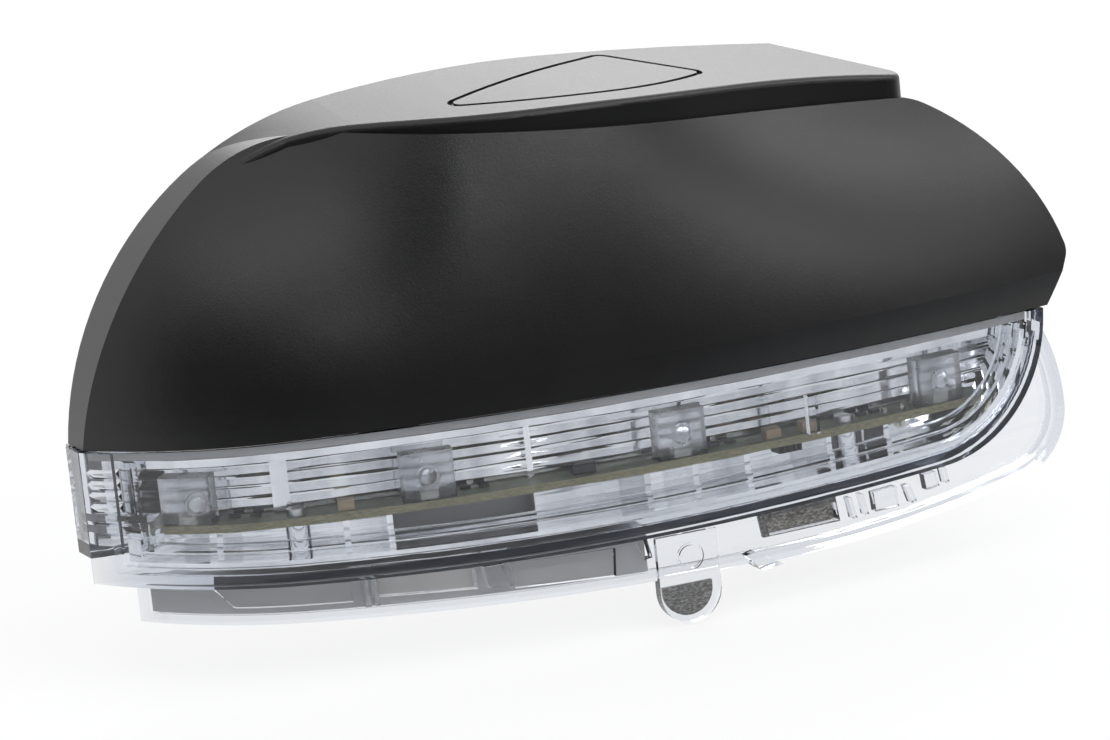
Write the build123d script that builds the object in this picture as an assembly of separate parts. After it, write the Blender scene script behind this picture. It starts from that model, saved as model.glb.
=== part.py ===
# Door mirror indicator light: a clear LED lamp along the lower edge of a black mirror cover.
# Millimetres. X runs along the mirror, Y from the front skin back to the flat rim, Z is up.
# The origin is the end face of the centre fixing tower, which lies on the rim plane.

import os
from math import asin, cos, degrees, radians, sin, sqrt

from build123d import *

os.makedirs("parts", exist_ok=True)

# Clearances
joint_gap = 0.3
board_gap = 0.3
pin_gap = 0.25
screw_gap = 0.2

# Plan line of the front skin: tangent arcs, each with its radius and the heading it ends on
plan_start = (-106.4, 18.2)
plan_heading = -85.0
plan_runs = (("arc", 65.0, -20.0), ("arc", 290.0, -5.0), ("arc", 400.0, 10.0))
side_x = -97.0

# Reach of the cutting blocks, well outside the lamp, and how far a cut runs past a face
far_x = 120.0
front_y = -80.0
low_z = -90.0
high_z = 60.0
far_inset = 40.0
past = 1.0

# Black cover, front view outline below the raised top
joint_z = -30.0
cover_wall = 2.5
cover_start = (-96.8, joint_z)
cover_heading = 83.6
cover_runs = (
    ("arc", 67.0, 33.0),
    ("arc", 40.0, -5.4),
    ("line", 118.0),
    ("arc", 12.0, -32.0),
    ("arc", 45.0, -80.0),
    ("arc", 4.0, -121.0),
    ("line", 14.0),
)

# Black cover, outline of the raised top, which falls towards the front
top_runs = (("arc", 67.0, 6.6), ("arc", 260.0, -4.5), ("arc", 850.0, -9.5))
top_slope = 0.12
top_left_x = -66.5
top_left_y = -12.7
top_right_back_x = 64.0
top_right_front_x = 81.0
top_corner_radius = 4.0
top_edge_radius = 1.3
top_ledge = 0.8
top_edge_stations = (-50.0, -38.0, -20.0, 0.0, 20.0, 42.0, 62.0, 74.0)

# Front skin: at each X it leans back by lean x height ** power, and has a crease near its foot
foot_z = -32.0
skin_top_z = 45.0
lean_height = 62.0
crease_z = -23.5
skin_stations = (
    (-99.0, 40.0, 2.2, 0.0),
    (-93.0, 39.0, 2.2, 0.0),
    (-84.0, 38.0, 2.2, 0.0),
    (-70.0, 36.3, 2.2, 0.0),
    (-54.0, 33.6, 2.2, 0.0),
    (-38.0, 23.2, 2.0, 0.0),
    (-20.0, 14.2, 1.8, 0.0),
    (0.0, 12.6, 1.7, 0.3),
    (20.0, 17.6, 1.7, 1.2),
    (42.0, 27.4, 1.8, 2.0),
    (64.0, 34.6, 1.8, 2.4),
    (86.0, 36.6, 1.8, 2.6),
    (108.0, 37.6, 1.8, 2.6),
)

# Rim step, engraved mark and towers of the cover
rim_step_depth = 0.8
rim_step_width = 2.0
mark_width = 1.2
mark_depth = 0.6
mark_left = (-22.5, -26.5)
mark_right = (38.5, -25.0)
mark_back = (24.0, -4.5)
mark_front = (8.0, -35.5)
mark_corner_radius = 3.0
tower_radius = 4.5
tower_bore_radius = 1.9
tower_bore_depth = 14.0
tower_spacing = 128.0
outer_tower_z = -6.0
gusset_thickness = 1.6
gusset_reach = 9.0
gusset_setback = 8.0
arm_opening_x = 84.0
arm_opening_front_y = -36.0
arm_opening_back_y = -6.0
arm_opening_top_z = -4.0
arm_opening_radius = 7.0

# Lamp fixing: bosses of the cover, lugs of the housing and the screws between them
lamp_fixing_x = (-40.0, 46.0)
lamp_fixing_z = -19.0
lamp_fixing_inset = 15.0
lamp_boss_radius = 4.0
lug_thickness = 2.5
lug_width = 12.0
screw_radius = 1.7
screw_length = 10.0
screw_end_room = 1.0
screw_head_radius = 3.4
screw_head_height = 2.4
screw_drive_radius = 1.7
screw_drive_depth = 1.4

# Clear lens, front view outline of its bottom edge, and its bead and flange
lens_wall = 2.2
lens_start = (-99.0, -56.6)
lens_heading = -3.8
lens_runs = (("arc", 1390.0, 3.1), ("arc", 28.0, 85.0), ("line", 4.0))
bead_height = 4.2
bead_proud = 0.8
corner_bead_width = 4.0
rail_heights = (4.7, 6.9)
rail_depth = 2.2
rail_thickness = 1.5
end_step_y = -10.3
end_step_z = -51.6
corner_rib_count = 6
corner_rib_pitch = 2.3
corner_rib_half = 0.9
corner_rib_right_x = -91.0
inner_rib_left_x = -90.0
inner_rib_width = 1.6
inner_rib_depth = 2.0
locating_rib_x = 40.4
locating_rib_width = 2.0
locating_rib_z = (-46.0, -38.0)
flange_inset = 3.2
flange_wall = 2.2
flange_start = (-94.6, -64.8)
flange_heading = -4.5
flange_runs = (("arc", 1600.0, 0.0), ("arc", 320.0, 10.5), ("arc", 13.0, 92.0), ("arc", 38.0, 120.0))
flange_rear = 14.0
lip_height = 1.6
lip_depth = 5.0
thick_lip_start_x = 24.0
thick_lip_height = 2.6
thick_lip_proud = 1.4
thick_lip_top_z = -33.0

# Housing, reflector, board and what stands on it; setbacks run from the board's front edge
housing_wall = 2.0
housing_depth = 22.0
housing_rear = 1.0
skirt_wall = 1.5
skirt_left_x = -91.0
skirt_right_x = 3.6
wiring_room = 6.0
reflector_front = 5.0
reflector_wall = 1.5
reflector_top_z = -33.0
reflector_side = 5.0
flute_wall = 2.6
flute_pitch = 2.2
flute_depth = 1.0
flute_start = 1.7
flute_count = 5
partition_thickness = 1.2
partition_places = (-73.0, -52.0, -44.0, 6.0, 16.0, 27.0, 45.0, 58.0)
wire_ways = ((-43.0, -14.0), (46.0, 57.0))
wire_way_z = (-54.5, -50.0)
upper_blades = ((-62.0, 3.4), (-15.0, 1.2))
upper_blade_depth = 1.5
board_thickness = 1.6
board_top_z = -46.5
board_depth = 8.2
board_left_x = -88.0
board_right_x = 83.0
optic_places = (-79.0, -36.5, 14.0, 72.0)
optic_width = 10.5
optic_depth = 4.4
optic_height = 9.6
optic_setback = 2.6
optic_edge_radius = 0.8
optic_mark_size = 3.0
optic_mark_depth = 0.6
led_width = 3.5
led_depth = 2.8
led_height = 1.7
led_window_radius = 1.1
led_window_depth = 0.3
chip_x = 37.0
chip_size = (5.0, 4.0, 1.5)
chip_setback = 3.0
chip_lead_pitch = 1.2
chip_lead_width = 0.4
chip_lead_root = 0.2
resistor_size = (2.0, 1.25, 0.6)
resistor_setback = 5.2
resistor_places = (-71.0, -67.5, -28.5, -25.0, 22.5, 26.0, 55.5, 58.5)
capacitor_size = (3.2, 2.5, 1.9)
capacitor_setback = 3.0
capacitor_places = (-52.0, 34.0, 42.0)
diode_size = (4.6, 2.6, 2.3)
diode_x = -6.0
board_screw_places = (-61.0, 50.5)
board_screw_setback = 3.5
board_screw_radius = 0.9
board_screw_length = 6.0
board_screw_head_radius = 1.9
board_screw_head_height = 1.3
board_screw_slot = (2.6, 0.5, 1.0)
board_post_radius = 2.4

# Wiring socket on the back of the housing, its pins and seal, and the breather
socket_x = 62.0
socket_z = -50.0
socket_size = (15.0, 10.0)
socket_wall = 1.8
socket_length = 15.0
socket_floor = 3.0
pad_margin = 2.0
pad_thickness = 1.5
pin_size = 0.8
pin_spacing = 4.0
pin_setback = 3.5
pin_reach = 7.0
pin_end = 0.8
seal_thickness = 1.2
seal_height = 2.0
vent_x = -18.0
vent_z = -43.0
vent_tube_radius = 3.5
vent_bore_radius = 1.75
vent_tube_length = 5.0
vent_cap_wall = 1.2
vent_cap_length = 5.0

# Features of the lens flange: front view corners
through_windows = (
    ((-50.0, -59.2), (-31.2, -60.7), (-31.1, -64.9), (-50.1, -63.7)),
    ((28.3, -60.9), (44.2, -61.0), (44.8, -64.8), (29.1, -64.9)),
    ((1.0, -60.6), (3.2, -60.6), (4.0, -64.6), (2.4, -64.8)),
)
shallow_pockets = (
    ((-79.0, -58.2), (-54.6, -60.0), (-54.6, -64.0), (-75.5, -62.8)),
    ((-24.2, -60.9), (-3.4, -61.4), (-3.8, -67.0), (-24.0, -66.0)),
)
raised_blocks = (
    ((-53.6, -58.6), (-52.6, -58.6), (-52.2, -64.8), (-53.2, -64.8)),
    ((-51.6, -58.8), (-50.8, -58.8), (-50.6, -64.8), (-51.4, -64.8)),
    ((-30.4, -60.2), (-26.6, -60.2), (-25.2, -64.9), (-29.6, -64.6)),
    ((46.0, -60.2), (46.9, -60.2), (47.7, -64.6), (46.8, -64.6)),
    ((48.8, -60.0), (49.6, -60.0), (50.4, -64.4), (49.6, -64.4)),
    ((51.8, -60.2), (57.2, -60.0), (57.4, -64.1), (52.1, -64.2)),
    ((59.2, -60.4), (60.4, -60.3), (61.6, -64.0), (60.4, -64.1)),
    ((63.8, -59.0), (66.6, -58.8), (67.2, -62.0), (64.2, -62.2)),
    ((68.0, -58.4), (69.0, -58.3), (69.6, -61.6), (68.6, -61.7)),
    ((22.6, -67.4), (24.6, -66.9), (30.4, -70.6), (25.8, -71.0)),
)
pocket_depth = 1.1
block_proud = 2.2
tongue_left_x = 4.5
tongue_right_x = 17.3
tongue_top_z = -60.8
tongue_bottom_z = -78.9
tongue_thickness = 2.2
tongue_proud = 1.0
tongue_mark_place = (11.4, -65.6)
tongue_mark_radius = 2.8
tongue_mark_width = 0.5
tongue_mark_depth = 0.4

# Felt pads behind the right hand window of the flange and behind the end of the tongue
felt_thickness = 0.8
felt_window_corners = ((27.6, -60.2), (45.0, -60.3), (45.6, -65.4), (28.4, -65.5))
felt_rim = 1.2
felt_top_z = -71.4

# Places that follow from the sizes above; an inset is measured from the front skin
tower_places = ((-tower_spacing / 2, outer_tower_z), (0.0, 0.0), (tower_spacing / 2, outer_tower_z))
lens_depth = housing_depth - housing_wall - joint_gap
lens_rear = housing_rear + housing_wall + joint_gap
lens_top_z = joint_z - joint_gap
rail_top_z = lens_top_z - housing_wall - joint_gap
reflector_outer_inset = lens_wall + 2 * joint_gap
reflector_inner_inset = reflector_outer_inset + reflector_wall
reflector_back = housing_depth - wiring_room
reflector_inside = reflector_back - reflector_wall
board_bottom_z = board_top_z - board_thickness
skirt_front = flange_inset + flange_wall + joint_gap
board_back = reflector_inside - board_gap
board_front = board_back - board_depth
optic_inset = board_front + optic_setback
chip_inset = board_front + chip_setback
resistor_inset = board_front + resistor_setback
capacitor_inset = board_front + capacitor_setback
board_screw_inset = board_front + board_screw_setback
pin_inset = board_front + pin_setback


def tangent_chain(start, heading, runs, turn, inset=0.0):
    """Points of each run of a chain of tangent lines and arcs, moved in towards its centres."""
    h = radians(heading)
    x = start[0] - turn * inset * sin(h)
    y = start[1] + turn * inset * cos(h)
    pieces = []
    for run in runs:
        if run[0] == "line":
            end = (x + run[1] * cos(h), y + run[1] * sin(h))
            pieces.append(((x, y), end))
        else:
            radius = run[1] - inset
            centre = (x - turn * radius * sin(h), y + turn * radius * cos(h))
            middle_heading = (h + radians(run[2])) / 2
            h = radians(run[2])
            middle = (centre[0] + turn * radius * sin(middle_heading),
                      centre[1] - turn * radius * cos(middle_heading))
            end = (centre[0] + turn * radius * sin(h), centre[1] - turn * radius * cos(h))
            pieces.append(((x, y), middle, end))
        x, y = end
    return pieces


def chain_edges(pieces, place):
    """Edges of a chain, with each flat point carried to its place in space."""
    edges = []
    for piece in pieces:
        points = [place(*point) for point in piece]
        maker = Edge.make_line if len(points) == 2 else Edge.make_three_point_arc
        edges.append(maker(*points))
    return edges


def ring(points):
    """Straight edges through the given points."""
    return [Edge.make_line(a, b) for a, b in zip(points[:-1], points[1:])]


def in_plan(x, y):
    return (x, y, 0.0)


def in_front(x, z):
    return (x, 0.0, z)


def plan_arcs():
    """Centre, radius and the two headings of each arc of the plan line."""
    x, y = plan_start
    h = plan_heading
    arcs = []
    for _, radius, next_heading in plan_runs:
        centre = (x - radius * sin(radians(h)), y + radius * cos(radians(h)))
        arcs.append((centre, radius, h, next_heading))
        x = centre[0] + radius * sin(radians(next_heading))
        y = centre[1] - radius * cos(radians(next_heading))
        h = next_heading
    return arcs


def plan_point(x, inset=0.0):
    """Y and heading of the plan line, moved in by the inset, at the given X."""
    for centre, radius, _, next_heading in plan_arcs():
        r = radius - inset
        if x <= centre[0] + r * sin(radians(next_heading)):
            break
    y = centre[1] - sqrt(r ** 2 - (x - centre[0]) ** 2)
    return y, degrees(asin((x - centre[0]) / r))


def seat(x, inset, z):
    """Place on the line parallel to the front skin, turned to lie along it."""
    y, heading = plan_point(x, inset)
    return Location((x, y, z), (0, 0, heading))


def box(x0, x1, y0, y1, z0, z1):
    """Box between two corners."""
    return Pos((x0 + x1) / 2, (y0 + y1) / 2, (z0 + z1) / 2) * Box(x1 - x0, y1 - y0, z1 - z0)


def plan_region(front, back, z0, z1, side=0.0, rear=0.0):
    """Upright slab between two lines parallel to the front skin, cut at the left side and the rear."""
    outer = tangent_chain(plan_start, plan_heading, plan_runs, 1, front)
    inner = tangent_chain(plan_start, plan_heading, plan_runs, 1, back)
    edges = chain_edges(outer, in_plan) + chain_edges(inner, in_plan)
    edges.append(Edge.make_line(in_plan(*outer[0][0]), in_plan(*inner[0][0])))
    edges.append(Edge.make_line(in_plan(*outer[-1][-1]), in_plan(*inner[-1][-1])))
    face = Face(Wire(edges))
    slab = Pos(0, 0, z0) * Solid.extrude(face, Vector(0, 0, z1 - z0))
    return slab & box(side_x + side, far_x, front_y, -rear, z0, z1)


def front_prism(edges, close_through, slope=0.0):
    """Prism along Y of a front view outline, closed by straight edges through the given points."""
    first = edges[0] @ 0
    last = edges[-1] @ 1
    corners = [tuple(last)] + [in_front(*point) for point in close_through] + [tuple(first)]
    face = Face(Wire(edges + ring(corners)))
    return Solid.extrude(face, Vector(0, front_y, front_y * slope))


def skin_y(x, lean, power, crease, z):
    """Y of the front skin at a height of one station."""
    y, _ = plan_point(x)
    rise = (z - foot_z) / lean_height
    ramp = (z - foot_z) / (crease_z - foot_z) if z < crease_z else 1 - (z - crease_z) / lean_height
    return y + lean * rise ** power - crease * max(ramp, 0.0)


def skin_block(back_shift=0.0):
    """Solid behind the front skin, lofted through upright sections along the mirror."""
    rear_y = -front_y
    sections = []
    for x, lean, power, crease in skin_stations:
        def at(z):
            return (x, skin_y(x, lean, power, crease, z) + back_shift, z)
        strip = Edge.make_spline([at(foot_z), at((foot_z + crease_z) / 2), at(crease_z)])
        middles = [crease_z + share * (skin_top_z - crease_z) for share in (0, 0.25, 0.5, 0.75, 1)]
        skin = Edge.make_spline([at(z) for z in middles])
        rest = ring([at(skin_top_z), (x, rear_y, skin_top_z), (x, rear_y, foot_z), at(foot_z)])
        sections.append(Face(Wire([strip, skin] + rest)))
    return Solid.make_loft([section.outer_wire() for section in sections])


def cover_outline(inset, bottom_z):
    """Prism of the cover below its raised top."""
    pieces = tangent_chain(cover_start, cover_heading, cover_runs, -1, inset)
    prism = front_prism(chain_edges(pieces, in_front),
                        [(pieces[-1][-1][0], low_z), (cover_start[0] + inset, low_z)])
    return prism & box(-far_x, far_x, front_y, 0, bottom_z, high_z)


def lean_at(x):
    """Lean, power and crease of the skin between two stations."""
    for low, high in zip(skin_stations[:-1], skin_stations[1:]):
        if x <= high[0]:
            break
    share = (x - low[0]) / (high[0] - low[0])
    return [a + share * (b - a) for a, b in zip(low[1:], high[1:])]


def groove_z(x):
    """Height of the straight upper edge of the cover outline."""
    pieces = tangent_chain(cover_start, cover_heading, cover_runs, -1)
    (x0, z0), (x1, z1) = pieces[2]
    if x > x0:
        return z0 + (x - x0) / (x1 - x0) * (z1 - z0)
    (xa, za), _, (xb, zb) = pieces[1]
    return za + (x - xa) / (xb - xa) * (zb - za)


def raised_top(inset, edge_radius=0.0):
    """Raised top of the cover, with its front edge just behind the groove."""
    pieces = tangent_chain(cover_start, cover_heading, top_runs, -1, inset)
    prism = front_prism(chain_edges(pieces, in_front), [(pieces[-1][-1][0], joint_z)], slope=top_slope)
    edge_points = []
    for x in top_edge_stations:
        edge_points.append((x, skin_y(x, *lean_at(x), groove_z(x)) + top_ledge + inset, 0))
    front_edge = Edge.make_spline(edge_points)
    last = tuple(front_edge @ 1)
    rest = ring([
        last,
        in_plan(top_right_front_x - inset, last[1] + top_ledge),
        in_plan(top_right_back_x - inset, past),
        in_plan(top_left_x + inset, past),
        in_plan(top_left_x + inset, top_left_y),
        tuple(front_edge @ 0),
    ])
    outline = Face(Wire([front_edge] + rest))
    corner = outline.vertices().sort_by(Axis.X)[-1]
    outline = outline.fillet_2d(top_corner_radius - inset, [corner])
    plan = Solid.extrude(outline, Vector(0, 0, high_z))
    top = prism & plan & box(-far_x, far_x, front_y, 0, 0, high_z)
    if edge_radius == 0:
        return top
    rim = []
    for edge in top.edges():
        reach = edge.bounding_box()
        if edge.geom_type != GeomType.LINE and reach.min.Z > past and reach.min.Y < top_left_y - past:
            rim.append(edge)
    return fillet(rim, edge_radius)


def top_mark():
    """Thin rounded triangle that is engraved in the raised top."""
    outline = Wire([
        Edge.make_line(in_plan(*mark_left), in_plan(*mark_back)),
        Edge.make_line(in_plan(*mark_back), in_plan(*mark_right)),
        Edge.make_three_point_arc(in_plan(*mark_right), in_plan(*mark_front), in_plan(*mark_left)),
    ])
    face = Face(outline)
    face = Face(face.fillet_2d(mark_corner_radius, face.vertices()).outer_wire())
    band = Sketch() + face - offset(Sketch() + face, -mark_width)
    layer = raised_top(0.0)
    layer = layer - Pos(0, 0, -mark_depth) * layer
    return extrude(band, amount=high_z, dir=(0, 0, 1)) & layer


def rod(x, z, radius, y0, y1):
    """Round bar along Y between two places."""
    return Pos(x, (y0 + y1) / 2, z) * Rot(90, 0, 0) * Cylinder(radius, y1 - y0)


def lamp_fixing_y(x):
    """Y where a lamp boss ends and a housing lug begins."""
    return plan_point(x)[0] + lamp_fixing_inset


def make_arm_opening():
    """Round-cornered way through the right hand wall for the mirror's arm."""
    block = box(arm_opening_x, far_x, arm_opening_front_y, arm_opening_back_y, low_z, arm_opening_top_z)
    corners = block.edges().filter_by(Axis.X).sort_by(Axis.Z)[-2:]
    return fillet(corners, arm_opening_radius)


def make_lower_cover():
    block = skin_block()
    outer = (block & cover_outline(0.0, joint_z)) + raised_top(0.0, top_edge_radius)
    cavity = (skin_block(cover_wall) & cover_outline(cover_wall, low_z)) + raised_top(cover_wall)
    cover = outer - cavity
    for x, z in tower_places:
        post = rod(x, z, tower_radius, front_y, 0.0)
        web = box(x - gusset_thickness / 2, x + gusset_thickness / 2, front_y, -gusset_setback,
                  z - gusset_reach, z + gusset_reach)
        web += box(x - gusset_reach, x + gusset_reach, front_y, -gusset_setback,
                   z - gusset_thickness / 2, z + gusset_thickness / 2)
        cover += (post + web) & outer
    for x in lamp_fixing_x:
        cover += rod(x, lamp_fixing_z, lamp_boss_radius, front_y, lamp_fixing_y(x)) & outer
    for x, z in tower_places:
        cover -= rod(x, z, tower_bore_radius, -tower_bore_depth, past)
    for x in lamp_fixing_x:
        y = lamp_fixing_y(x)
        cover -= rod(x, lamp_fixing_z, screw_radius + screw_gap, y - screw_length, y + past)
    rim = box(-far_x, far_x, -rim_step_width, past, low_z, high_z)
    rim -= cover_outline(rim_step_depth, low_z) + raised_top(rim_step_depth)
    return cover - rim - top_mark() - make_arm_opening()


def lens_outline(inset=0.0):
    """Prism of the lens's front view outline, stepped up at its rear left end."""
    pieces = tangent_chain(lens_start, lens_heading, lens_runs, 1, inset)
    prism = front_prism(chain_edges(pieces, in_front), [(pieces[-1][-1][0], 0), (pieces[0][0][0], 0)])
    prism &= box(-far_x, far_x, front_y, 0, low_z, lens_top_z)
    return prism - box(-far_x, 0, end_step_y - inset, past, low_z, end_step_z + inset)


def flange_outline(inset=0.0):
    """Prism of the flange's front view outline, up to the top of the right hand scoop."""
    pieces = tangent_chain(flange_start, flange_heading, flange_runs, 1, inset)
    return front_prism(chain_edges(pieces, in_front), [(pieces[0][0][0] + inset, pieces[-1][-1][1])])


def front_plate(points, front, back):
    """Plate that follows the front skin, with the given front view corners."""
    face = Face(Wire(ring([in_front(*point) for point in points + points[:1]])))
    return Solid.extrude(face, Vector(0, front_y, 0)) & plan_region(front, back, low_z, joint_z)


def tongue_prism(inset, top_z):
    """Prism of the tongue's front view outline: straight sides and a round end."""
    left, right = tongue_left_x + inset, tongue_right_x - inset
    round_z = tongue_bottom_z + (tongue_right_x - tongue_left_x) / 2
    edges = ring([in_front(right, round_z), in_front(right, top_z),
                  in_front(left, top_z), in_front(left, round_z)])
    edges.append(Edge.make_three_point_arc(in_front(left, round_z),
                                           in_front((left + right) / 2, tongue_bottom_z + inset),
                                           in_front(right, round_z)))
    return Solid.extrude(Face(Wire(edges)), Vector(0, front_y, 0))


def make_tongue():
    """Hanging tongue with a round end and a round mark."""
    front = flange_inset - tongue_proud
    tongue = tongue_prism(0.0, tongue_top_z) & plan_region(front, front + tongue_thickness, low_z, joint_z)
    x, z = tongue_mark_place
    mark = rod(x, z, tongue_mark_radius, front_y, 0)
    mark -= rod(x, z, tongue_mark_radius - tongue_mark_width, front_y, 0)
    return tongue - (mark & plan_region(front - past, front + tongue_mark_depth, low_z, joint_z))


def make_felt_pads():
    """Pads on the rear faces of the flange and the tongue."""
    flange_back = flange_inset + flange_wall
    window_pad = front_plate(felt_window_corners, flange_back, flange_back + felt_thickness)
    tongue_back = flange_inset - tongue_proud + tongue_thickness
    tongue_pad = tongue_prism(felt_rim, felt_top_z) & plan_region(
        tongue_back, tongue_back + felt_thickness, low_z, joint_z)
    return Compound([window_pad.solid(), tongue_pad.solid()])


def lens_slab(front, back, side=0.0, top_z=lens_top_z):
    """Slab parallel to the front skin, over the height and to the rear edge of the lens."""
    return plan_region(front, back, low_z, top_z, side=side, rear=lens_rear)


def make_inner_ribs():
    """Light ribs round the inside of the left corner, and the upright ribs behind the front wall."""
    room = lens_outline(lens_wall / 2) & lens_slab(lens_wall / 2, far_inset, side=lens_wall / 2,
                                                   top_z=rail_top_z)
    corner = box(-far_x, corner_rib_right_x, front_y, 0, low_z, high_z)
    ribs = []
    for number in range(corner_rib_count):
        z = rail_top_z - (number + 1) * corner_rib_pitch
        for bar in skin_bar(lens_wall, z, corner_rib_half):
            piece = bar & corner
            if piece:
                ribs += piece.solids()
    upright = lens_slab(lens_wall / 2, lens_wall + inner_rib_depth, top_z=rail_top_z)
    ribs.append(upright & box(inner_rib_left_x, inner_rib_left_x + inner_rib_width, front_y, 0,
                              board_bottom_z, rail_top_z))
    half = locating_rib_width / 2
    ribs.append(upright & box(locating_rib_x - half, locating_rib_x + half, front_y, 0, *locating_rib_z))
    return [room & rib for rib in ribs]


def make_outer_lens():
    hollow = plan_region(lens_wall, far_inset, low_z, lens_top_z, side=lens_wall)
    thick = lens_slab(-bead_proud, lens_depth, side=-bead_proud) - hollow
    lens = (lens_slab(0, lens_depth) & lens_outline()) - (hollow & lens_outline(lens_wall))
    lens += thick & (lens_outline() - lens_outline(bead_height))
    lens += thick & lens_outline() & box(-far_x, side_x + corner_bead_width, front_y, 0, low_z, lens_top_z)
    rail = lens_slab(lens_wall / 2, lens_wall + rail_depth, side=lens_wall / 2, top_z=rail_top_z)
    for height in rail_heights:
        lens += rail & (lens_outline(height) - lens_outline(height + rail_thickness))
    lens += make_inner_ribs()
    band = flange_outline() - lens_outline(lens_wall / 2)
    band &= box(-far_x, far_x, front_y, -flange_rear, low_z, lens_top_z)
    flange = lens_slab(flange_inset, flange_inset + flange_wall) & band
    flange += lens_slab(flange_inset, flange_inset + lip_depth) & (band - flange_outline(lip_height))
    thick_lip = lens_slab(flange_inset - thick_lip_proud, flange_inset + flange_wall)
    thick_lip &= box(thick_lip_start_x, far_x, front_y, 0, low_z, thick_lip_top_z)
    flange += thick_lip & (band - flange_outline(thick_lip_height))
    for points in shallow_pockets:
        flange -= front_plate(points, flange_inset - past, flange_inset + pocket_depth)
    for points in raised_blocks:
        flange += front_plate(points, flange_inset - block_proud, flange_inset + flange_wall)
    for points in through_windows:
        flange -= front_plate(points, flange_inset - block_proud - past, flange_inset + lip_depth + past)
    return lens + flange + make_tongue()


def socket_back_y():
    """Y of the housing's outer face behind the board at the socket."""
    return plan_point(socket_x, housing_depth)[0]


def pin_places():
    return [socket_x - pin_spacing / 2, socket_x + pin_spacing / 2]


def pin_leg_y():
    return plan_point(socket_x, pin_inset)[0]


def pin_hole(x, y0, y1):
    """Square way for a pin between two places along Y."""
    hole = pin_size / 2 + pin_gap
    return box(x - hole, x + hole, y0, y1, socket_z - hole, socket_z + hole)


def make_skirt():
    """Shelf under the lens, hung from the rear wall, and the upright plate behind the flange."""
    room = box(skirt_left_x, skirt_right_x, front_y, -flange_rear, low_z, lens_top_z)
    under = lens_outline(-joint_gap - skirt_wall)
    wall = plan_region(housing_depth - housing_wall, housing_depth, low_z, lens_top_z) & under
    shelf = plan_region(skirt_front, housing_depth - housing_wall / 2, low_z, joint_z) & under
    plate = plan_region(skirt_front, skirt_front + skirt_wall, low_z, joint_z)
    plate &= flange_outline(lip_height + joint_gap)
    return (wall + (shelf - lens_outline(-joint_gap)) + (plate - lens_outline(-joint_gap))) & room


def make_rear_housing():
    top_z = lens_top_z
    shell = plan_region(0, housing_depth, low_z, top_z, rear=housing_rear)
    shell -= plan_region(-past, housing_depth - housing_wall, low_z, top_z, side=-past,
                         rear=housing_rear + housing_wall)
    shell &= lens_outline()
    inset = lens_wall + joint_gap
    roof = plan_region(inset, housing_depth, top_z - housing_wall, top_z, side=inset, rear=housing_rear)
    housing = shell + (roof & lens_outline(inset)) + make_skirt()
    for x in lamp_fixing_x:
        y = lamp_fixing_y(x)
        lug = box(x - lug_width / 2, x + lug_width / 2, y, y + lug_thickness,
                  top_z - housing_wall / 2, lamp_fixing_z + lug_width / 2)
        corners = lug.edges().filter_by(Axis.Y).sort_by(Axis.Z)[-2:]
        housing += fillet(corners, lug_width / 3)
    for x in lamp_fixing_x:
        y = lamp_fixing_y(x)
        housing -= rod(x, lamp_fixing_z, screw_radius + joint_gap, y - past, y + lug_thickness + past)
    y = socket_back_y()
    half_x, half_z = socket_size[0] / 2, socket_size[1] / 2
    housing += box(socket_x - half_x - pad_margin, socket_x + half_x + pad_margin, y - housing_wall / 2,
                   y + pad_thickness, socket_z - half_z - pad_margin, socket_z + half_z + pad_margin)
    housing += box(socket_x - half_x, socket_x + half_x, y - housing_wall / 2, y + socket_length,
                   socket_z - half_z, socket_z + half_z)
    housing -= box(socket_x - half_x + socket_wall, socket_x + half_x - socket_wall,
                   y + socket_floor, y + socket_length + past,
                   socket_z - half_z + socket_wall, socket_z + half_z - socket_wall)
    for x in pin_places():
        housing -= pin_hole(x, y - 2 * housing_wall, y + socket_floor + past)
    vent_y = plan_point(vent_x, housing_depth)[0]
    housing += rod(vent_x, vent_z, vent_tube_radius, vent_y - housing_wall / 2, vent_y + vent_tube_length)
    housing -= rod(vent_x, vent_z, vent_bore_radius, vent_y - 2 * housing_wall,
                   vent_y + vent_tube_length + past)
    return housing


def skin_bar(inset, z, half):
    """Bar parallel to the front skin, of square section that stands on its corner."""
    bars = []
    for centre, arc_radius, h0, h1 in plan_arcs():
        corners = []
        for depth, rise in ((-half, 0), (0, half), (half, 0), (0, -half)):
            r = arc_radius - inset - depth
            corners.append((centre[0] + r * sin(radians(h0)), centre[1] - r * cos(radians(h0)), z + rise))
        section = Face(Wire(ring(corners + corners[:1])))
        axis = Axis((centre[0], centre[1], 0), (0, 0, 1))
        bars.append(Solid.revolve(section, h1 - h0, axis))
    return bars


def block_at(x, inset, size, base_z):
    """Block that stands on a height, turned to lie along the front skin."""
    return seat(x, inset, base_z + size[2] / 2) * Box(*size)


def post_at(x, inset, radius, z0, z1):
    """Upright round post between two heights."""
    return seat(x, inset, (z0 + z1) / 2) * Cylinder(radius, z1 - z0)


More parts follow.
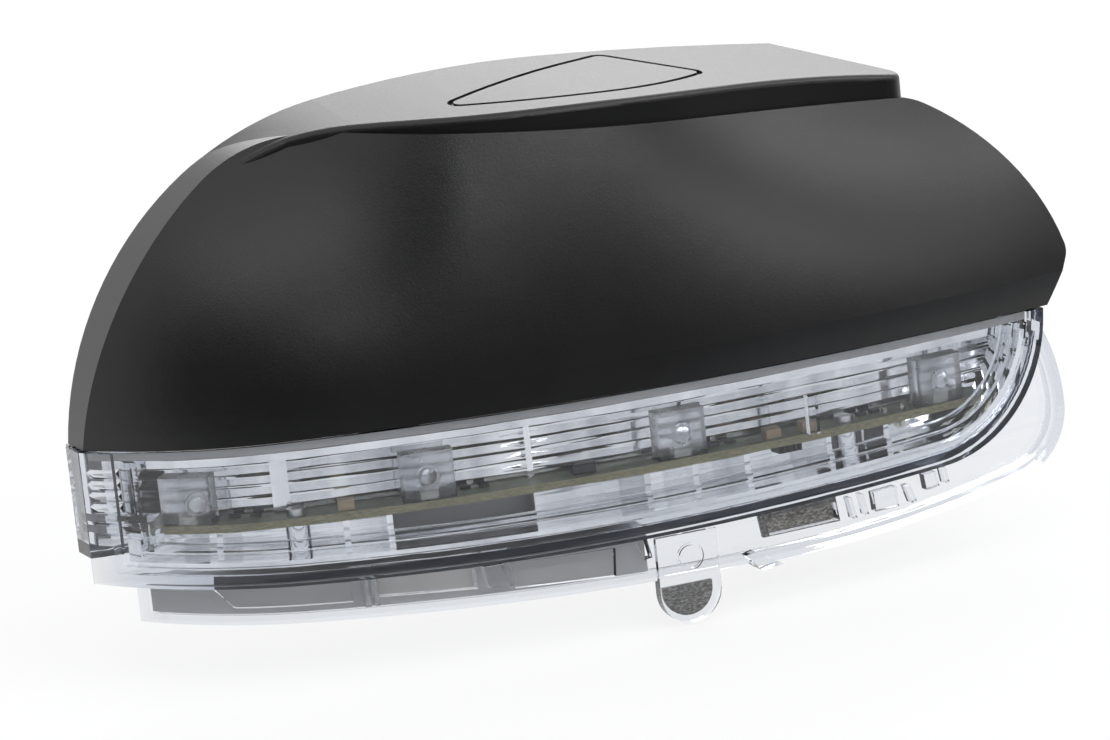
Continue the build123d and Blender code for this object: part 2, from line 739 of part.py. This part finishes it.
def make_reflector():
    inside = reflector_inside
    body = lens_slab(reflector_front, reflector_back, side=reflector_side, top_z=reflector_top_z)
    room = plan_region(-past, inside, low_z, reflector_top_z - reflector_wall,
                       side=reflector_side + reflector_wall, rear=lens_rear + reflector_wall)
    reflector = (body & lens_outline(reflector_outer_inset)) - (room & lens_outline(reflector_inner_inset))
    flute_face = inside - flute_wall + reflector_wall
    wall = lens_slab(flute_face, inside + reflector_wall / 2, side=reflector_side + reflector_wall / 2,
                     top_z=reflector_top_z)
    wall &= lens_outline(reflector_inner_inset)
    wall &= box(-far_x, far_x, front_y, 0, board_top_z + board_gap, reflector_top_z)
    for number in range(flute_count):
        z = board_top_z + board_gap + flute_start + number * flute_pitch
        for bar in skin_bar(flute_face, z, flute_depth):
            wall -= bar
    reflector += wall
    blade_height = reflector_top_z - board_top_z - board_gap
    for x, width in upper_blades:
        blade_size = (width, upper_blade_depth + flute_depth, blade_height)
        blade_inset = flute_face + (flute_depth - upper_blade_depth) / 2
        reflector += block_at(x, blade_inset, blade_size, board_top_z + board_gap)
    for left, right in wire_ways:
        way = plan_region(inside - past, reflector_back + past, *wire_way_z)
        reflector -= way & box(left, right, front_y, 0, *wire_way_z)
    floor_room = lens_outline(reflector_outer_inset + reflector_wall / 2)
    depth = inside - board_front + reflector_wall / 2
    for x in partition_places:
        blade = block_at(x, board_front + depth / 2, (partition_thickness, depth, far_inset),
                         board_bottom_z - far_inset)
        reflector += blade & floor_room
    for x in board_screw_places:
        reflector += post_at(x, board_screw_inset, board_post_radius, low_z, board_bottom_z) & floor_room
    for x in board_screw_places:
        reflector -= post_at(x, board_screw_inset, board_screw_radius + screw_gap,
                             board_bottom_z - board_screw_length, board_bottom_z + past)
    for x in pin_places():
        reflector -= pin_hole(x, pin_leg_y(), socket_back_y())
    return reflector


def make_circuit_board():
    board = plan_region(board_front, board_back, board_bottom_z, board_top_z,
                        rear=lens_rear + reflector_wall + board_gap)
    board &= box(board_left_x, board_right_x, front_y, 0, board_bottom_z, board_top_z)
    board &= lens_outline(reflector_inner_inset + board_gap)
    for x in board_screw_places:
        board -= post_at(x, board_screw_inset, board_screw_radius + 2 * screw_gap, low_z, joint_z)
    hole = pin_size / 2 + pin_gap
    for x in pin_places():
        y = pin_leg_y()
        board -= box(x - hole, x + hole, y - hole, y + hole, low_z, joint_z)
    return board


def make_light_optic(x):
    optic = block_at(x, optic_inset, (optic_width, optic_depth, optic_height), board_top_z)
    optic = fillet(optic.edges().filter_by(Axis.Z), optic_edge_radius)
    pocket = (led_width + 2 * board_gap, led_depth + 2 * board_gap, led_height + board_gap + past)
    optic -= block_at(x, optic_inset, pocket, board_top_z - past)
    mark = (optic_mark_size, 2 * optic_mark_depth, optic_mark_size)
    return optic - block_at(x, optic_inset - optic_depth / 2, mark,
                            board_top_z + (optic_height - optic_mark_size) / 2)


def make_led(x):
    led = block_at(x, optic_inset, (led_width, led_depth, led_height), board_top_z)
    top = board_top_z + led_height
    return led - post_at(x, optic_inset, led_window_radius, top - led_window_depth, top + past)


def make_driver_chip():
    """Chip on the board's underside, with four leads along each long side."""
    width, depth, height = chip_size
    chip = block_at(chip_x, chip_inset, chip_size, board_bottom_z - height - chip_lead_width / 2)
    for row in (-1, 1):
        for number in range(4):
            along = (number - 1.5) * chip_lead_pitch
            lead = Pos(along, row * (depth / 2 + chip_lead_width), -height / 2) * Box(
                chip_lead_width, 2 * chip_lead_width + chip_lead_root, height)
            chip += seat(chip_x, chip_inset, board_bottom_z) * lead
    return chip


def make_group(places, inset, size):
    """Separate blocks of one size, standing on the board."""
    return Compound([block_at(x, inset, size, board_top_z).solid() for x in places])


def make_terminal(x):
    """Bent pin from the board to the inside of the socket."""
    half = pin_size / 2
    leg_y = pin_leg_y()
    tip_y = socket_back_y() + socket_floor + pin_reach
    leg = box(x - half, x + half, leg_y - half, leg_y + half, socket_z - half, board_top_z + pin_end)
    bar = box(x - half, x + half, leg_y - half, tip_y, socket_z - half, socket_z + half)
    pin = leg + bar
    return chamfer(pin.faces().sort_by(Axis.Y)[-1].edges(), half / 2)


def make_socket_seal():
    """Rubber frame round the socket, against the housing's pad."""
    y = socket_back_y() + pad_thickness
    half_x, half_z = socket_size[0] / 2 + joint_gap, socket_size[1] / 2 + joint_gap
    outer = box(socket_x - half_x - seal_thickness, socket_x + half_x + seal_thickness, y, y + seal_height,
                socket_z - half_z - seal_thickness, socket_z + half_z + seal_thickness)
    return outer - box(socket_x - half_x, socket_x + half_x, y - past, y + seal_height + past,
                       socket_z - half_z, socket_z + half_z)


def make_vent_cap():
    """Soft cap over the breather tube."""
    tube_end = plan_point(vent_x, housing_depth)[0] + vent_tube_length
    inner = vent_tube_radius + joint_gap
    end = tube_end + joint_gap + vent_cap_wall
    cap = rod(vent_x, vent_z, inner + vent_cap_wall, end - vent_cap_length, end)
    return cap - rod(vent_x, vent_z, inner, end - vent_cap_length - past, tube_end + joint_gap)


def make_screw(x):
    """Flat topped screw from behind a housing lug into its boss."""
    y = lamp_fixing_y(x) + lug_thickness
    head = rod(x, lamp_fixing_z, screw_head_radius, y, y + screw_head_height)
    head = chamfer(head.edges().sort_by(Axis.Y)[-1], screw_head_height / 3)
    tip_y = lamp_fixing_y(x) - screw_length + screw_end_room
    shank = rod(x, lamp_fixing_z, screw_radius, tip_y, y + screw_head_height / 2)
    drive = Pos(x, y + screw_head_height, lamp_fixing_z) * Rot(90, 0, 0) * extrude(
        RegularPolygon(screw_drive_radius, 6), screw_drive_depth, both=True)
    return head + shank - drive


def make_board_screw(x):
    head = post_at(x, board_screw_inset, board_screw_head_radius, board_top_z,
                   board_top_z + board_screw_head_height)
    shank = post_at(x, board_screw_inset, board_screw_radius,
                    board_bottom_z - board_screw_length + screw_end_room,
                    board_top_z + board_screw_head_height / 2)
    slot = block_at(x, board_screw_inset, board_screw_slot,
                    board_top_z + board_screw_head_height - board_screw_slot[2] / 2)
    return head + shank - slot


nodes = {
    "lower_cover": make_lower_cover(),
    "outer_lens": make_outer_lens(),
    "rear_housing": make_rear_housing(),
    "reflector": make_reflector(),
    "circuit_board": make_circuit_board(),
    "driver_chip": make_driver_chip(),
    "resistors": make_group(resistor_places, resistor_inset, resistor_size),
    "capacitors": make_group(capacitor_places, capacitor_inset, capacitor_size),
    "diode": make_group((diode_x,), capacitor_inset, diode_size),
    "socket_seal": make_socket_seal(),
    "vent_cap": make_vent_cap(),
    "felt_pads": make_felt_pads(),
    "lamp_screws": Compound([make_screw(x).solid() for x in lamp_fixing_x]),
    "board_screws": Compound([make_board_screw(x).solid() for x in board_screw_places]),
}
for number, x in enumerate(optic_places, 1):
    nodes[f"light_optic_{number}"] = make_light_optic(x)
    nodes[f"led_{number}"] = make_led(x)
for number, x in enumerate(pin_places(), 1):
    nodes[f"terminal_pin_{number}"] = make_terminal(x)

for name, shape in nodes.items():
    export_step(shape, f"parts/{name}.step")
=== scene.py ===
# Looks of the door mirror indicator light: materials, small pieces, floor, lights and camera.
# Metres. X runs along the mirror, Y from the front skin back to the rim, Z is up.

from math import cos, pi, radians, sin

import bmesh
import bpy
from mathutils import Matrix, Vector


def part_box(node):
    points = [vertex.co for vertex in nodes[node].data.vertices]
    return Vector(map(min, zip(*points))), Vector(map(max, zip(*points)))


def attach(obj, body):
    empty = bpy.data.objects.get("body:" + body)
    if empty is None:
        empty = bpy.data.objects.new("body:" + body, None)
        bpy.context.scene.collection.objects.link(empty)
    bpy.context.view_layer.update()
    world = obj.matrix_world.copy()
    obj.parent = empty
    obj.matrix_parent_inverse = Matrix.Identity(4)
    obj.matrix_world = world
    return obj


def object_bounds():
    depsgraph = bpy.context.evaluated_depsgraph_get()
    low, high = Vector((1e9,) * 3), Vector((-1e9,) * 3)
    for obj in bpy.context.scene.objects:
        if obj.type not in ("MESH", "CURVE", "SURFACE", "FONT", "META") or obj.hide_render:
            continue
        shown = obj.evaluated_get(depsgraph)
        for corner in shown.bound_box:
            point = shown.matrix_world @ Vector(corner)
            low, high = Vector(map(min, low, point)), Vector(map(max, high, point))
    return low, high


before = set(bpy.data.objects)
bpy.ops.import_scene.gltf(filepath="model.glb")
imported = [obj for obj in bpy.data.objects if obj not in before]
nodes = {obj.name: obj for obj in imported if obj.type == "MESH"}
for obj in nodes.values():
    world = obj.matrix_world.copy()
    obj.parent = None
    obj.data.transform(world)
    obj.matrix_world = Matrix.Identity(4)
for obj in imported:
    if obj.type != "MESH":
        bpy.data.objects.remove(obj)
cad_low, cad_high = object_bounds()

mm = 0.001

# Camera, fitted to the outlines in the photograph
image_width = 1110
image_height = 740
view_azimuth = radians(-24)
view_elevation = radians(12)
view_roll = radians(6)
view_distance = 0.9
view_target = Vector((-12.47, -53.67, -15.0)) * mm
focal_pixels = 4680
optical_axis_pixel = (560, 330)
sensor_width = 36.0

# Floor, and how much of it shows as plain white where it is seen directly
floor_z = cad_low.z - 0.4 * mm
floor_reach = 4.0
floor_grey = 0.86
floor_white_share = 0.78

# Studio light from all sides: its brighter direction, and its colours from the dim side to the bright one
studio_up = Vector((0.0, 0.5, 0.87)).normalized()
studio_colours = ((0.2, (0.45, 0.45, 0.46)), (0.8, (0.90, 0.91, 0.93)))

# Lamps, each facing the object: name, place, width and height, power
lamps = (
    ("top_lamp", (0.95, 1.5, 0.80), (1.6, 0.7), 11.0),
    ("front_lamp", (0.1, -1.2, 1.6), (2.6, 0.8), 8.0),
    ("right_lamp", (1.20, -0.59, 1.12), (0.35, 0.3), 2.4),
    ("strip_lamp", (0.33, -1.33, 0.74), (1.25, 0.2), 6.8),
)

# Dark cards in front of the object and on the floor, and a grey one between them and the object
card_left = -4.0
card_right = 2.2
card_front = -1.5
card_top = 1.7
card_lean = 0.2
card_rear = -0.20
near_card_rear = -0.12

# Ring lens on the front of each light block: radius and height of each ring, from the rim inwards
dome_rings = ((2.4, -0.1), (2.4, 0.3), (2.15, 0.42), (1.9, 0.3), (1.75, 0.12), (1.5, 0.3), (1.0, 0.55),
              (0.5, 0.68))
dome_top = 0.72
dome_steps = 40


def new_material(name):
    """Node material with one Principled shader."""
    material = bpy.data.materials.new(name)
    material.use_nodes = True
    return material, material.node_tree.nodes, material.node_tree.links


def shader_of(tree_nodes):
    return next(node for node in tree_nodes if node.type == "BSDF_PRINCIPLED")


def set_sockets(shader, **values):
    for name, value in values.items():
        shader.inputs[name.replace("_", " ")].default_value = value


def place_node(tree_nodes, links, scale=(1.0, 1.0, 1.0)):
    """Object coordinates, stretched by the given factors."""
    coordinates = tree_nodes.new("ShaderNodeTexCoord")
    mapping = tree_nodes.new("ShaderNodeMapping")
    mapping.inputs["Scale"].default_value = scale
    links.new(coordinates.outputs["Object"], mapping.inputs["Vector"])
    return mapping.outputs["Vector"]


def noise(tree_nodes, links, vector, scale, detail=3.0):
    texture = tree_nodes.new("ShaderNodeTexNoise")
    texture.inputs["Scale"].default_value = scale
    texture.inputs["Detail"].default_value = detail
    links.new(vector, texture.inputs["Vector"])
    return texture.outputs["Fac"]


def ramp(tree_nodes, links, factor, stops):
    """Colour ramp with the given (position, colour) stops."""
    node = tree_nodes.new("ShaderNodeValToRGB")
    elements = node.color_ramp.elements
    while len(elements) < len(stops):
        elements.new(0.5)
    for element, (position, colour) in zip(elements, stops):
        element.position = position
        element.color = (*colour, 1.0)
    links.new(factor, node.inputs["Fac"])
    return node.outputs["Color"]


def carry(tree_nodes, links, factor, before=(0.0, 1.0), after=(0.0, 1.0)):
    """Carries a factor from one range to another."""
    node = tree_nodes.new("ShaderNodeMapRange")
    node.inputs["From Min"].default_value, node.inputs["From Max"].default_value = before
    node.inputs["To Min"].default_value, node.inputs["To Max"].default_value = after
    links.new(factor, node.inputs["Value"])
    return node.outputs["Result"]


def add_bump(tree_nodes, links, shader, height, strength, distance):
    bump = tree_nodes.new("ShaderNodeBump")
    bump.inputs["Strength"].default_value = strength
    bump.inputs["Distance"].default_value = distance
    links.new(height, bump.inputs["Height"])
    links.new(bump.outputs["Normal"], shader.inputs["Normal"])


def plastic(name, dark, light, grain_scale, roughness, bump_strength, bump_distance, specular=0.5):
    """Moulded plastic: fine grain, cloudy colour and uneven gloss."""
    material, tree_nodes, links = new_material(name)
    shader = shader_of(tree_nodes)
    vector = place_node(tree_nodes, links)
    cloud = noise(tree_nodes, links, vector, grain_scale / 40)
    grain = noise(tree_nodes, links, vector, grain_scale, detail=4.0)
    links.new(ramp(tree_nodes, links, cloud, ((0.3, dark), (0.7, light))), shader.inputs["Base Color"])
    links.new(carry(tree_nodes, links, grain, after=roughness), shader.inputs["Roughness"])
    set_sockets(shader, Specular_IOR_Level=specular)
    add_bump(tree_nodes, links, shader, grain, bump_strength, bump_distance)
    return material


def clear_plastic(name, tint, roughness, wave_scale, wave_strength, stretch, depth_tint=None, density=0.0):
    """Clear moulding with the faint flow waves that injection leaves, deeper in colour where it is thick."""
    material, tree_nodes, links = new_material(name)
    shader = shader_of(tree_nodes)
    vector = place_node(tree_nodes, links, stretch)
    wave = noise(tree_nodes, links, vector, wave_scale, detail=2.0)
    pale = tuple(min(1.0, value + 0.02) for value in tint)
    links.new(ramp(tree_nodes, links, wave, ((0.35, tint), (0.65, pale))), shader.inputs["Base Color"])
    links.new(carry(tree_nodes, links, wave, after=roughness), shader.inputs["Roughness"])
    set_sockets(shader, Transmission_Weight=1.0, IOR=1.49)
    add_bump(tree_nodes, links, shader, wave, wave_strength, 0.3 * mm)
    if depth_tint:
        absorption = tree_nodes.new("ShaderNodeVolumeAbsorption")
        absorption.inputs["Color"].default_value = (*depth_tint, 1.0)
        absorption.inputs["Density"].default_value = density
        output = next(node for node in tree_nodes if node.type == "OUTPUT_MATERIAL")
        links.new(absorption.outputs["Volume"], output.inputs["Volume"])
    return material


def metal(name, dark, light, roughness, scale, bump_strength, stretch=(1.0, 1.0, 1.0)):
    """Metal or metallised surface with cloudy colour and slight unevenness; on the reflector the broad
    upright bands of this cloud are painted reflections.
    """
    material, tree_nodes, links = new_material(name)
    shader = shader_of(tree_nodes)
    vector = place_node(tree_nodes, links, stretch)
    cloud = noise(tree_nodes, links, vector, scale)
    # Colour over the cloud: random tone on the tinned and zinc parts, painted reflections in broad upright
    # bands on the reflector.
    links.new(ramp(tree_nodes, links, cloud, ((0.3, dark), (0.7, light))), shader.inputs["Base Color"])
    links.new(carry(tree_nodes, links, cloud, after=roughness), shader.inputs["Roughness"])
    set_sockets(shader, Metallic=1.0)
    add_bump(tree_nodes, links, shader, cloud, bump_strength, 0.2 * mm)
    return material


def felt_material():
    """Pressed felt: mottled grey fibres of several shades."""
    material, tree_nodes, links = new_material("felt")
    shader = shader_of(tree_nodes)
    fibres = noise(tree_nodes, links, place_node(tree_nodes, links, (1.0, 1.0, 2.2)), 1300.0, detail=6.0)
    links.new(ramp(tree_nodes, links, fibres, ((0.30, (0.08, 0.076, 0.070)), (0.50, (0.20, 0.195, 0.185)),
                                               (0.70, (0.42, 0.41, 0.39)))), shader.inputs["Base Color"])
    links.new(carry(tree_nodes, links, fibres, after=(0.8, 0.95)), shader.inputs["Roughness"])
    set_sockets(shader, Specular_IOR_Level=0.2, Sheen_Weight=0.3)
    add_bump(tree_nodes, links, shader, fibres, 0.6, 0.15 * mm)
    return material


def board_material():
    """Glass fibre board: olive solder mask over a pale woven edge."""
    material, tree_nodes, links = new_material("board")
    shader = shader_of(tree_nodes)
    vector = place_node(tree_nodes, links)
    fibres = noise(tree_nodes, links, place_node(tree_nodes, links, (1.0, 1.0, 6.0)), 900.0)
    weave = ramp(tree_nodes, links, fibres, ((0.3, (0.16, 0.14, 0.07)), (0.7, (0.36, 0.33, 0.2))))
    mask = ramp(tree_nodes, links, noise(tree_nodes, links, vector, 300.0),
                ((0.3, (0.10, 0.12, 0.07)), (0.7, (0.16, 0.18, 0.11))))
    geometry = tree_nodes.new("ShaderNodeNewGeometry")
    parts = tree_nodes.new("ShaderNodeSeparateXYZ")
    links.new(geometry.outputs["Normal"], parts.inputs["Vector"])
    upright = tree_nodes.new("ShaderNodeMath")
    upright.operation = "ABSOLUTE"
    links.new(parts.outputs["Z"], upright.inputs[0])
    mix = tree_nodes.new("ShaderNodeMix")
    mix.data_type = "RGBA"
    links.new(upright.outputs["Value"], mix.inputs["Factor"])
    links.new(weave, mix.inputs["A"])
    links.new(mask, mix.inputs["B"])
    links.new(mix.outputs["Result"], shader.inputs["Base Color"])
    links.new(carry(tree_nodes, links, fibres, after=(0.35, 0.6)), shader.inputs["Roughness"])
    add_bump(tree_nodes, links, shader, fibres, 0.3, 0.1 * mm)
    return material


def led_material():
    """White LED package with a yellow phosphor window in the middle of its top."""
    material, tree_nodes, links = new_material("led")
    shader = shader_of(tree_nodes)
    coordinates = tree_nodes.new("ShaderNodeTexCoord")
    mapping = tree_nodes.new("ShaderNodeMapping")
    mapping.inputs["Location"].default_value = (-0.5, -0.5, 0.0)
    mapping.inputs["Scale"].default_value = (1.0, 1.0, 0.0)
    links.new(coordinates.outputs["Generated"], mapping.inputs["Vector"])
    length = tree_nodes.new("ShaderNodeVectorMath")
    length.operation = "LENGTH"
    links.new(mapping.outputs["Vector"], length.inputs[0])
    colour = ramp(tree_nodes, links, length.outputs["Value"],
                  ((0.0, (0.85, 0.7, 0.25)), (0.24, (0.8, 0.66, 0.28)), (0.30, (0.8, 0.8, 0.76))))
    links.new(colour, shader.inputs["Base Color"])
    grain = noise(tree_nodes, links, place_node(tree_nodes, links), 2500.0)
    links.new(carry(tree_nodes, links, grain, after=(0.3, 0.5)), shader.inputs["Roughness"])
    add_bump(tree_nodes, links, shader, grain, 0.15, 0.05 * mm)
    return material


def floor_material():
    """Pale floor that shows white to the camera and keeps the object's shadow."""
    material, tree_nodes, links = new_material("floor")
    shader = shader_of(tree_nodes)
    set_sockets(shader, Base_Color=(floor_grey, floor_grey, floor_grey, 1.0), Roughness=0.9,
                Specular_IOR_Level=0.1)
    glow = tree_nodes.new("ShaderNodeEmission")
    glow.inputs["Color"].default_value = (1.0, 1.0, 1.0, 1.0)
    glow.inputs["Strength"].default_value = 1.0
    mix = tree_nodes.new("ShaderNodeMixShader")
    seen = tree_nodes.new("ShaderNodeMath")
    seen.operation = "MULTIPLY"
    seen.inputs[1].default_value = floor_white_share
    links.new(seen_directly(tree_nodes, links), seen.inputs[0])
    links.new(seen.outputs["Value"], mix.inputs["Fac"])
    links.new(shader.outputs["BSDF"], mix.inputs[1])
    links.new(glow.outputs["Emission"], mix.inputs[2])
    output = next(node for node in tree_nodes if node.type == "OUTPUT_MATERIAL")
    links.new(mix.outputs["Shader"], output.inputs["Surface"])
    return material


def seen_directly(tree_nodes, links):
    """1 for camera, glossy and transmission rays."""
    path = tree_nodes.new("ShaderNodeLightPath")
    total = path.outputs["Is Camera Ray"]
    for name in ("Is Glossy Ray", "Is Transmission Ray"):
        add = tree_nodes.new("ShaderNodeMath")
        add.operation = "MAXIMUM"
        links.new(total, add.inputs[0])
        links.new(path.outputs[name], add.inputs[1])
        total = add.outputs["Value"]
    return total


def set_world():
    """White studio, dimmer from below where it lights the object."""
    world = bpy.data.worlds.new("studio")
    bpy.context.scene.world = world
    world.use_nodes = True
    tree_nodes, links = world.node_tree.nodes, world.node_tree.links
    background = next(node for node in tree_nodes if node.type == "BACKGROUND")
    coordinates = tree_nodes.new("ShaderNodeTexCoord")
    direction = tree_nodes.new("ShaderNodeVectorMath")
    direction.operation = "DOT_PRODUCT"
    direction.inputs[1].default_value = studio_up
    links.new(coordinates.outputs["Generated"], direction.inputs[0])
    height = carry(tree_nodes, links, direction.outputs["Value"], before=(-1.0, 1.0))
    shade = ramp(tree_nodes, links, height, studio_colours)
    mix = tree_nodes.new("ShaderNodeMix")
    mix.data_type = "RGBA"
    mix.inputs["B"].default_value = (1.0, 1.0, 1.0, 1.0)
    links.new(seen_directly(tree_nodes, links), mix.inputs["Factor"])
    links.new(shade, mix.inputs["A"])
    links.new(mix.outputs["Result"], background.inputs["Color"])
    background.inputs["Strength"].default_value = 1.0


def add_floor():
    mesh = bpy.data.meshes.new("floor")
    r = floor_reach
    corners = [(-r, -r, floor_z), (r, -r, floor_z), (r, r, floor_z), (-r, r, floor_z)]
    mesh.from_pydata(corners, [], [(0, 1, 2, 3)])
    floor = bpy.data.objects.new("floor", mesh)
    bpy.context.scene.collection.objects.link(floor)
    mesh.materials.append(floor_material())


def add_card(name, material, corners):
    """Card in front of the lamp, outside the picture, that only the gloss shows."""
    mesh = bpy.data.meshes.new(name)
    mesh.from_pydata(corners, [], [(0, 1, 2, 3)])
    card = bpy.data.objects.new(name, mesh)
    bpy.context.scene.collection.objects.link(card)
    mesh.materials.append(material)
    card.visible_camera = False
    card.visible_diffuse = False
    card.visible_transmission = False
    card.visible_shadow = False


def add_cards():
    dark = plastic("dark_card", dark=(0.02, 0.02, 0.02), light=(0.03, 0.03, 0.03), grain_scale=40.0,
                   roughness=(0.8, 0.9), bump_strength=0.1, bump_distance=1.0 * mm)
    grey = plastic("grey_card", dark=(0.38, 0.40, 0.43), light=(0.42, 0.44, 0.47), grain_scale=40.0,
                   roughness=(0.8, 0.9), bump_strength=0.1, bump_distance=1.0 * mm)
    top_y = card_front - card_lean
    low_z = floor_z + mm
    add_card("front_card", dark, [(card_left, card_front, floor_z), (card_right, card_front, floor_z),
                                  (card_right, top_y, card_top), (card_left, top_y, card_top)])
    add_card("floor_card", dark, [(card_left, card_front, low_z), (card_right, card_front, low_z),
                                  (card_right, card_rear, low_z), (card_left, card_rear, low_z)])
    add_card("near_card", grey, [(card_left, card_rear, low_z), (card_right, card_rear, low_z),
                                 (card_right, near_card_rear, low_z), (card_left, near_card_rear, low_z)])


def add_lamp(name, place, size, power):
    """Soft rectangular lamp that faces the object."""
    data = bpy.data.lights.new(name, "AREA")
    data.shape = "RECTANGLE"
    data.size, data.size_y = size
    data.energy = power
    lamp = bpy.data.objects.new(name, data)
    lamp.location = place
    lamp.rotation_mode = "QUATERNION"
    lamp.rotation_quaternion = (-Vector(place)).to_track_quat("-Z", "Y")
    lamp.visible_camera = False
    bpy.context.scene.collection.objects.link(lamp)


def add_camera():
    a, e, r = view_azimuth, view_elevation, view_roll
    back = Vector((sin(a) * cos(e), -cos(a) * cos(e), sin(e)))
    right = Vector((cos(a), sin(a), 0.0))
    up = back.cross(right)
    rolled_right = right * cos(r) - up * sin(r)
    rolled_up = up * cos(r) + right * sin(r)
    data = bpy.data.cameras.new("camera")
    data.sensor_width = sensor_width
    data.lens = focal_pixels / image_width * sensor_width
    data.shift_x = (image_width / 2 - optical_axis_pixel[0]) / image_width
    data.shift_y = (optical_axis_pixel[1] - image_height / 2) / image_width
    data.clip_start = 0.05
    data.clip_end = 20.0
    camera = bpy.data.objects.new("camera", data)
    axes = Matrix((rolled_right, rolled_up, back)).transposed().to_4x4()
    camera.matrix_world = Matrix.Translation(view_target + back * view_distance) @ axes
    bpy.context.scene.collection.objects.link(camera)
    bpy.context.scene.camera = camera


def dress(material, *names):
    """Gives CAD nodes a material in place of their plain one."""
    for name in names:
        mesh = nodes[name].data
        mesh.materials.clear()
        mesh.materials.append(material)


def dress_nodes():
    dress(plastic("cover", dark=(0.002, 0.002, 0.0022), light=(0.004, 0.004, 0.0042), grain_scale=2200.0,
                  roughness=(0.32, 0.42), bump_strength=0.32, bump_distance=0.08 * mm), "lower_cover")
    dress(clear_plastic("lens", tint=(0.90, 0.915, 0.935), roughness=(0.0, 0.03), wave_scale=420.0,
                        wave_strength=0.36, stretch=(0.06, 0.06, 1.0), depth_tint=(0.28, 0.34, 0.46),
                        density=48.0), "outer_lens")
    dress(plastic("housing", dark=(0.42, 0.42, 0.425), light=(0.50, 0.50, 0.50), grain_scale=1800.0,
                  roughness=(0.4, 0.55), bump_strength=0.15, bump_distance=0.06 * mm), "rear_housing")
    dress(felt_material(), "felt_pads")
    # The reflector's broad upright bands of darker and lighter metal are painted reflections of the studio.
    dress(metal("reflector", dark=(0.66, 0.67, 0.69), light=(0.97, 0.97, 0.975), roughness=(0.03, 0.13),
                scale=90.0, bump_strength=0.25, stretch=(1.0, 1.0, 0.25)), "reflector")
    dress(board_material(), "circuit_board")
    dress(clear_plastic("frosted", tint=(0.96, 0.97, 0.98), roughness=(0.22, 0.36), wave_scale=900.0,
                        wave_strength=0.4, stretch=(0.35, 0.35, 1.0)),
          *[f"light_optic_{number}" for number in range(1, 5)])
    dress(led_material(), *[f"led_{number}" for number in range(1, 5)])
    dress(plastic("chip", dark=(0.010, 0.010, 0.012), light=(0.02, 0.02, 0.022), grain_scale=3000.0,
                  roughness=(0.4, 0.6), bump_strength=0.2, bump_distance=0.04 * mm),
          "driver_chip", "resistors", "diode")
    dress(plastic("ceramic", dark=(0.34, 0.25, 0.15), light=(0.46, 0.36, 0.24), grain_scale=2000.0,
                  roughness=(0.35, 0.5), bump_strength=0.2, bump_distance=0.04 * mm), "capacitors")
    dress(metal("tinned", dark=(0.60, 0.58, 0.50), light=(0.74, 0.72, 0.66), roughness=(0.2, 0.35),
                scale=1200.0, bump_strength=0.2), "terminal_pin_1", "terminal_pin_2")
    dress(plastic("rubber", dark=(0.012, 0.012, 0.012), light=(0.024, 0.024, 0.024), grain_scale=1500.0,
                  roughness=(0.7, 0.85), bump_strength=0.3, bump_distance=0.08 * mm, specular=0.3),
          "socket_seal", "vent_cap")
    dress(metal("zinc", dark=(0.50, 0.50, 0.50), light=(0.68, 0.68, 0.69), roughness=(0.22, 0.4),
                scale=1500.0, bump_strength=0.2), "lamp_screws", "board_screws")


def front_of(node):
    """Middle and direction of the face that a light block turns to the front."""
    mesh = nodes[node].data
    faces = [face for face in mesh.polygons if face.normal.y < -0.9]
    normal = sum((face.normal * face.area for face in faces), Vector()).normalized()
    low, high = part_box(node)
    middle = (Vector(low) + Vector(high)) / 2
    reach = max(vertex.co.dot(normal) for vertex in mesh.vertices)
    return middle + normal * (reach - middle.dot(normal)), normal


def add_dome(number, material):
    """Small ring lens moulded on the front of one light block."""
    centre, normal = front_of(f"light_optic_{number}")
    across = normal.cross(Vector((0.0, 0.0, 1.0))).normalized()
    upward = across.cross(normal)
    shape = bmesh.new()
    rings = []
    for radius, height in dome_rings:
        angles = (2 * pi * step / dome_steps for step in range(dome_steps))
        rings.append([shape.verts.new(centre + (across * cos(angle) * radius + upward * sin(angle) * radius
                                                + normal * height) * mm) for angle in angles])
    for outer, inner in zip(rings, rings[1:]):
        for step in range(dome_steps):
            after = (step + 1) % dome_steps
            shape.faces.new((outer[step], outer[after], inner[after], inner[step]))
    top = shape.verts.new(centre + normal * dome_top * mm)
    for step in range(dome_steps):
        shape.faces.new((rings[-1][step], rings[-1][(step + 1) % dome_steps], top))
    shape.faces.new(list(reversed(rings[0])))
    bmesh.ops.recalc_face_normals(shape, faces=shape.faces)
    for face in shape.faces:
        face.smooth = len(face.verts) < 5
    mesh = bpy.data.meshes.new(f"optic_ring_{number}")
    shape.to_mesh(mesh)
    shape.free()
    mesh.materials.append(material)
    dome = bpy.data.objects.new(f"optic_ring_{number}", mesh)
    bpy.context.scene.collection.objects.link(dome)
    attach(dome, "root")


def add_domes():
    material = clear_plastic("ring", tint=(0.97, 0.975, 0.98), roughness=(0.02, 0.06), wave_scale=900.0,
                             wave_strength=0.2, stretch=(0.35, 0.35, 1.0))
    for number in range(1, 5):
        add_dome(number, material)


dress_nodes()
add_domes()
add_floor()
set_world()
add_cards()
for lamp in lamps:
    add_lamp(*lamp)
add_camera()
bpy.context.scene.view_settings.view_transform = "Standard"
